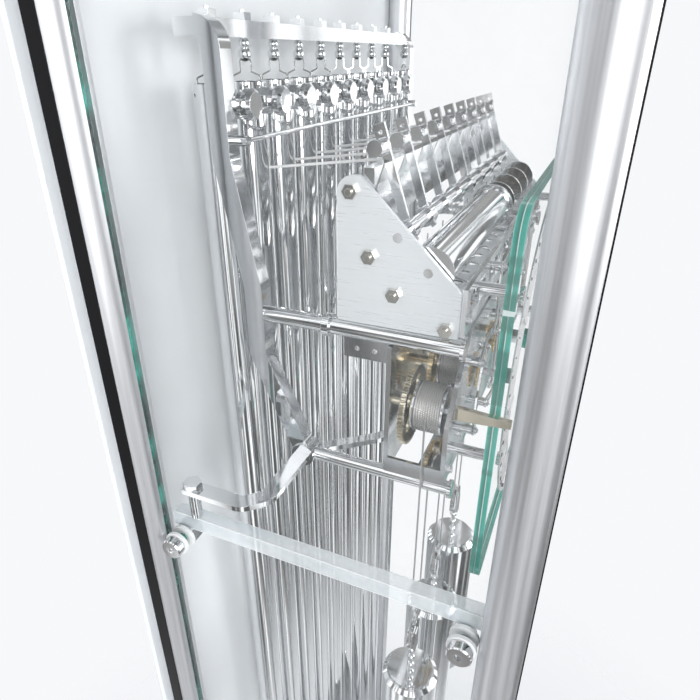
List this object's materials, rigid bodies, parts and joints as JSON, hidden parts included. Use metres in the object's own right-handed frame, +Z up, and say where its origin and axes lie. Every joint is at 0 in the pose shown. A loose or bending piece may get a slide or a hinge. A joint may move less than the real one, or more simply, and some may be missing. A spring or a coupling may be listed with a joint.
{
  "type": "floor clock",
  "caption": "Glass cased floor clock with hanging bell tubes, an open chromed chiming movement, a glass dial, cable hung weights and a pendulum.",
  "frame": {"origin": "on the floor under the centre of the case", "axes": "+Z up, front of the clock towards -Y, +X to the right seen from the front"},
  "size_m": [0.67, 0.38, 2],
  "materials": {
    "case_aluminium": "satin",
    "post_finish": "satin",
    "back_white": "satin",
    "clear_glass": "clear",
    "dial_clear_glass": "clear",
    "bell_chrome": "polished",
    "frame_chrome": "polished",
    "movement_chrome": "polished",
    "hammer_chrome": "polished",
    "drum_chrome": "polished",
    "weight_chrome": "polished",
    "pendulum_chrome": "polished",
    "wheel_gold": "polished",
    "barrel_steel": "polished",
    "rod_white": "satin",
    "cable_steel": "satin",
    "crossbar_steel": "satin",
    "ring_steel": "satin",
    "hand_black": "satin"
  },
  "bodies": {
    "case": {"back_panel": "back_white", "bell_hangers": "frame_chrome", "bell_rack": "frame_chrome", "brace_bars": "frame_chrome", "cable_leads": "cable_steel", "cable_rail": "frame_chrome", "chapter_ring": "ring_steel", "corner_posts": "post_finish", "cradle_struts": "frame_chrome", "crossbar_clamps": "frame_chrome", "dial_glass": "dial_clear_glass", "dial_posts": "frame_chrome", "glass_crossbars": "crossbar_steel", "hammer_rest_bar": "movement_chrome", "hammer_shaft": "movement_chrome", "movement_side_plates": "movement_chrome", "plinth": "case_aluminium", "roof_plate": "case_aluminium", "side_glass": "clear_glass", "steady_rods": "rod_white", "train_plates": "movement_chrome"},
    "door": {"door_frame": "post_finish", "door_glass": "clear_glass"},
    "latch": {"door_knob": "frame_chrome"},
    "bell_1": {"bell_1": "bell_chrome"},
    "hammer_1": {"hammer_1": "hammer_chrome"},
    "bell_2": {"bell_2": "bell_chrome"},
    "hammer_2": {"hammer_2": "hammer_chrome"},
    "bell_3": {"bell_3": "bell_chrome"},
    "hammer_3": {"hammer_3": "hammer_chrome"},
    "bell_4": {"bell_4": "bell_chrome"},
    "hammer_4": {"hammer_4": "hammer_chrome"},
    "bell_5": {"bell_5": "bell_chrome"},
    "hammer_5": {"hammer_5": "hammer_chrome"},
    "bell_6": {"bell_6": "bell_chrome"},
    "hammer_6": {"hammer_6": "hammer_chrome"},
    "bell_7": {"bell_7": "bell_chrome"},
    "hammer_7": {"hammer_7": "hammer_chrome"},
    "bell_8": {"bell_8": "bell_chrome"},
    "hammer_8": {"hammer_8": "hammer_chrome"},
    "bell_9": {"bell_9": "bell_chrome"},
    "hammer_9": {"hammer_9": "hammer_chrome"},
    "music_drum": {"music_drum": "drum_chrome"},
    "chime_barrel": {"chime_barrel": "barrel_steel"},
    "chime_weight": {"chime_weight": "weight_chrome", "chime_cable": "cable_steel"},
    "strike_barrel": {"strike_barrel": "barrel_steel"},
    "strike_weight": {"strike_weight": "weight_chrome", "strike_cable": "cable_steel"},
    "time_barrel": {"time_barrel": "barrel_steel"},
    "time_weight": {"time_weight": "weight_chrome", "time_cable": "cable_steel"},
    "centre_wheel": {"centre_wheel": "wheel_gold"},
    "third_wheel": {"third_wheel": "wheel_gold"},
    "escape_wheel": {"escape_wheel": "wheel_gold"},
    "minute_hand": {"minute_hand": "hand_black"},
    "hour_hand": {"hour_hand": "hand_black"},
    "minute_wheel": {"minute_wheel": "wheel_gold"},
    "pendulum": {"pendulum": "pendulum_chrome"},
    "anchor": {"anchor": "movement_chrome"}
  },
  "joints": [
    {"name": "door_hinge", "type": "hinge", "parent": "case", "child": "door", "pos_m": [0.275, -0.157, 0.144], "axis": [0, 0, 1], "range_deg": [0, 100]},
    {"name": "latch_turn", "type": "hinge", "parent": "door", "child": "latch", "pos_m": [-0.274, -0.157, 1.06], "axis": [0, -1, 0], "range_deg": [0, 90]},
    {"name": "bell_1_swing", "type": "hinge", "parent": "case", "child": "bell_1", "pos_m": [-0.188, 0.125, 1.746], "axis": [1, 0, 0], "range_deg": [-0.4, 0.4]},
    {"name": "hammer_1_lift", "type": "hinge", "parent": "case", "child": "hammer_1", "pos_m": [-0.188, -0.036, 1.634], "axis": [1, 0, 0], "range_deg": [0, 10]},
    {"name": "bell_2_swing", "type": "hinge", "parent": "case", "child": "bell_2", "pos_m": [-0.141, 0.125, 1.746], "axis": [1, 0, 0], "range_deg": [-0.4, 0.4]},
    {"name": "hammer_2_lift", "type": "hinge", "parent": "case", "child": "hammer_2", "pos_m": [-0.141, -0.036, 1.634], "axis": [1, 0, 0], "range_deg": [0, 10]},
    {"name": "bell_3_swing", "type": "hinge", "parent": "case", "child": "bell_3", "pos_m": [-0.094, 0.125, 1.746], "axis": [1, 0, 0], "range_deg": [-0.4, 0.4]},
    {"name": "hammer_3_lift", "type": "hinge", "parent": "case", "child": "hammer_3", "pos_m": [-0.094, -0.036, 1.634], "axis": [1, 0, 0], "range_deg": [0, 10]},
    {"name": "bell_4_swing", "type": "hinge", "parent": "case", "child": "bell_4", "pos_m": [-0.047, 0.125, 1.746], "axis": [1, 0, 0], "range_deg": [-0.4, 0.4]},
    {"name": "hammer_4_lift", "type": "hinge", "parent": "case", "child": "hammer_4", "pos_m": [-0.047, -0.036, 1.634], "axis": [1, 0, 0], "range_deg": [0, 10]},
    {"name": "bell_5_swing", "type": "hinge", "parent": "case", "child": "bell_5", "pos_m": [0, 0.125, 1.746], "axis": [1, 0, 0], "range_deg": [-0.4, 0.4]},
    {"name": "hammer_5_lift", "type": "hinge", "parent": "case", "child": "hammer_5", "pos_m": [0, -0.036, 1.634], "axis": [1, 0, 0], "range_deg": [0, 10]},
    {"name": "bell_6_swing", "type": "hinge", "parent": "case", "child": "bell_6", "pos_m": [0.047, 0.125, 1.746], "axis": [1, 0, 0], "range_deg": [-0.4, 0.4]},
    {"name": "hammer_6_lift", "type": "hinge", "parent": "case", "child": "hammer_6", "pos_m": [0.047, -0.036, 1.634], "axis": [1, 0, 0], "range_deg": [0, 10]},
    {"name": "bell_7_swing", "type": "hinge", "parent": "case", "child": "bell_7", "pos_m": [0.094, 0.125, 1.746], "axis": [1, 0, 0], "range_deg": [-0.4, 0.4]},
    {"name": "hammer_7_lift", "type": "hinge", "parent": "case", "child": "hammer_7", "pos_m": [0.094, -0.036, 1.634], "axis": [1, 0, 0], "range_deg": [0, 10]},
    {"name": "bell_8_swing", "type": "hinge", "parent": "case", "child": "bell_8", "pos_m": [0.141, 0.125, 1.746], "axis": [1, 0, 0], "range_deg": [-0.4, 0.4]},
    {"name": "hammer_8_lift", "type": "hinge", "parent": "case", "child": "hammer_8", "pos_m": [0.141, -0.036, 1.634], "axis": [1, 0, 0], "range_deg": [0, 10]},
    {"name": "bell_9_swing", "type": "hinge", "parent": "case", "child": "bell_9", "pos_m": [0.188, 0.125, 1.746], "axis": [1, 0, 0], "range_deg": [-0.4, 0.4]},
    {"name": "hammer_9_lift", "type": "hinge", "parent": "case", "child": "hammer_9", "pos_m": [0.188, -0.036, 1.634], "axis": [1, 0, 0], "range_deg": [0, 10]},
    {"name": "drum_spin", "type": "hinge", "parent": "case", "child": "music_drum", "pos_m": [0, -0.06, 1.611], "axis": [1, 0, 0], "continuous": true},
    {"name": "chime_weight_drop", "type": "slide", "parent": "case", "child": "chime_weight", "axis": [0, 0, -1], "range_m": [0, 0.7], "deforming": ["chime_cable"]},
    {"name": "strike_weight_drop", "type": "slide", "parent": "case", "child": "strike_weight", "axis": [0, 0, -1], "range_m": [0, 0.7], "deforming": ["strike_cable"]},
    {"name": "time_weight_drop", "type": "slide", "parent": "case", "child": "time_weight", "axis": [0, 0, -1], "range_m": [0, 0.7], "deforming": ["time_cable"]},
    {"name": "chime_barrel_turn", "type": "hinge", "parent": "case", "child": "chime_barrel", "pos_m": [-0.198, -0.07, 1.492], "axis": [0, 1, 0], "range_deg": [0, 3900]},
    {"name": "strike_barrel_turn", "type": "hinge", "parent": "case", "child": "strike_barrel", "pos_m": [-0.1198, -0.07, 1.492], "axis": [0, 1, 0], "range_deg": [0, 3900]},
    {"name": "centre_spin", "type": "hinge", "parent": "case", "child": "centre_wheel", "pos_m": [0, -0.06, 1.478], "axis": [0, 1, 0], "continuous": true},
    {"name": "time_barrel_turn", "type": "hinge", "parent": "case", "child": "time_barrel", "pos_m": [-0.0416, -0.07, 1.492], "axis": [0, 1, 0], "continuous": true},
    {"name": "third_spin", "type": "hinge", "parent": "case", "child": "third_wheel", "pos_m": [0.02022, -0.06, 1.49822], "axis": [0, 1, 0], "continuous": true},
    {"name": "escape_spin", "type": "hinge", "parent": "case", "child": "escape_wheel", "pos_m": [0, -0.06, 1.51151], "axis": [0, 1, 0], "continuous": true},
    {"name": "minute_turn", "type": "hinge", "parent": "case", "child": "minute_hand", "pos_m": [0, -0.12, 1.478], "axis": [0, 1, 0], "continuous": true},
    {"name": "hour_turn", "type": "hinge", "parent": "case", "child": "hour_hand", "pos_m": [0, -0.12, 1.478], "axis": [0, 1, 0], "continuous": true},
    {"name": "minute_wheel_spin", "type": "hinge", "parent": "case", "child": "minute_wheel", "pos_m": [0.01835, -0.09, 1.46515], "axis": [0, 1, 0], "continuous": true},
    {"name": "pendulum_swing", "type": "hinge", "parent": "case", "child": "pendulum", "pos_m": [0, 0.031, 1.533], "axis": [0, 1, 0], "range_deg": [-3, 3]},
    {"name": "anchor_rock", "type": "hinge", "parent": "case", "child": "anchor", "pos_m": [0, -0.02, 1.533], "axis": [0, 1, 0], "range_deg": [-3, 3]}
  ],
  "couplings": [
    {"joint": "chime_barrel_turn", "follows": "chime_weight_drop", "rad_per_m": 95.694},
    {"joint": "strike_barrel_turn", "follows": "strike_weight_drop", "rad_per_m": 95.694},
    {"joint": "time_barrel_turn", "follows": "centre_spin", "ratio": -0.25},
    {"joint": "third_spin", "follows": "centre_spin", "ratio": -4.2},
    {"joint": "escape_spin", "follows": "centre_spin", "ratio": 18.9},
    {"joint": "hour_turn", "follows": "minute_turn", "ratio": 0.083333},
    {"joint": "minute_wheel_spin", "follows": "minute_turn", "ratio": -0.33333},
    {"joint": "anchor_rock", "follows": "pendulum_swing", "ratio": 1}
  ]
}
